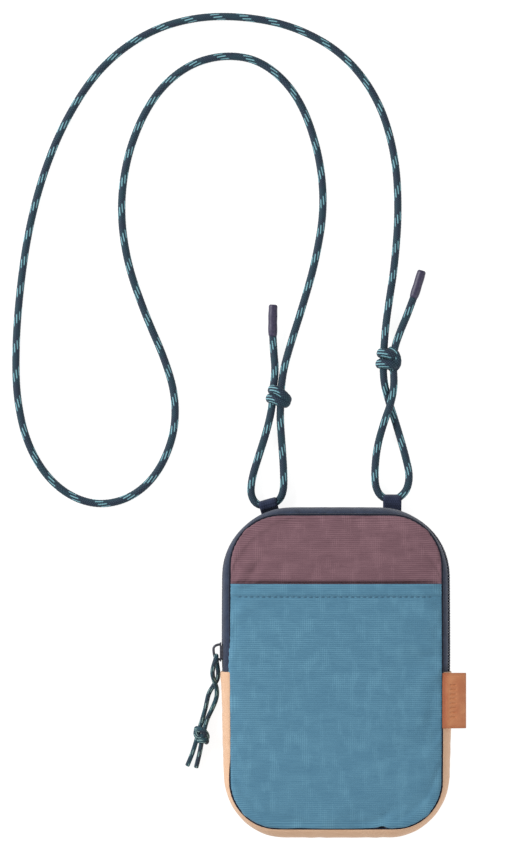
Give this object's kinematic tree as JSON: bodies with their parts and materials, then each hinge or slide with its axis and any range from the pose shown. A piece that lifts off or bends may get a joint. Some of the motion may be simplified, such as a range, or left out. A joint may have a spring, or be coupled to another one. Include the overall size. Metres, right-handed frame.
{
  "type": "neck pouch wallet",
  "caption": "Flat zip-around neck pouch with a front slip pocket, cloth gusset, leather side tab and a knotted braided neck cord laid in a loose S-shaped loop.",
  "frame": {"origin": "centre of the back panel's flat outer face, the face the pouch lies on", "axes": "+Z out of the pouch's front, +Y towards the pouch's top edge where the neck cord leaves, +X towards the side with the leather tab"},
  "size_m": [0.2386, 0.433, 0.022],
  "materials": {
    "fabric_mauve": "plum ripstop canvas, matte",
    "fabric_blue": "steel blue ripstop canvas, matte",
    "fabric_tan": "sand canvas, matte",
    "lining": "plain woven lining, matte",
    "foam": "closed-cell foam padding",
    "zip_tape": "woven navy zip tape",
    "zip_coil": "navy nylon coil, satin",
    "piping": "navy piping cord cover",
    "webbing": "navy woven webbing",
    "leather": "cognac leather, blind-embossed border",
    "cord": "braided navy cord with pale teal tracers",
    "cord_sleeve": "dark plum shrink sleeve",
    "slider_metal": "gunmetal paint, satin"
  },
  "bodies": {
    "pouch": {"back_panel": "fabric_mauve", "back_foam": "foam", "back_lining": "lining", "inner_card_pocket": "lining", "card_pocket_seam": "lining", "back_piping": "piping", "lower_gusset": "fabric_tan", "gusset_lining": "lining", "zip_tape_back": "zip_tape", "zip_coil_back": "zip_coil", "front_panel_lower": "fabric_mauve", "front_foam_lower": "foam", "front_lining_lower": "lining", "front_pocket_lower": "fabric_blue", "pocket_seam_lower": "fabric_blue", "front_piping_lower": "piping", "webbing_loop_left": "webbing", "webbing_loop_right": "webbing", "leather_tab": "leather", "neck_cord": "cord", "neck_cord_tail_left": "cord", "neck_cord_tail_right": "cord", "neck_cord_knot_left": "cord", "neck_cord_knot_right": "cord", "cord_end_sleeve_left": "cord_sleeve", "cord_end_sleeve_right": "cord_sleeve"},
    "front_flap": {"front_panel_upper": "fabric_mauve", "front_foam_upper": "foam", "front_lining_upper": "lining", "front_pocket_upper": "fabric_blue", "pocket_seam_upper": "fabric_blue", "front_pocket_hem": "fabric_blue", "front_piping_upper": "piping", "zip_tape_front": "zip_tape", "zip_coil_front": "zip_coil"},
    "zip_slider": {"slider_body": "slider_metal", "slider_bridge": "slider_metal"},
    "zip_pull": {"pull_cord_upper": "cord", "pull_cord_lower": "cord", "pull_cord_knot": "cord"}
  },
  "joints": [
    {"name": "front_opening", "type": "hinge", "parent": "pouch", "child": "front_flap", "pos_m": [0, 0, 0.022], "axis": [1, 0, 0], "range_deg": [0, 40], "deforming": ["zip_coil_front"]},
    {"name": "zip_travel", "type": "slide", "parent": "pouch", "child": "zip_slider", "axis": [0, 1, 0], "range_m": [0, 0.04]},
    {"name": "pull_swing", "type": "hinge", "parent": "zip_slider", "child": "zip_pull", "pos_m": [-0.0627, 0.008, 0.011], "axis": [0, 0, 1], "range_deg": [-95, 4]}
  ]
}
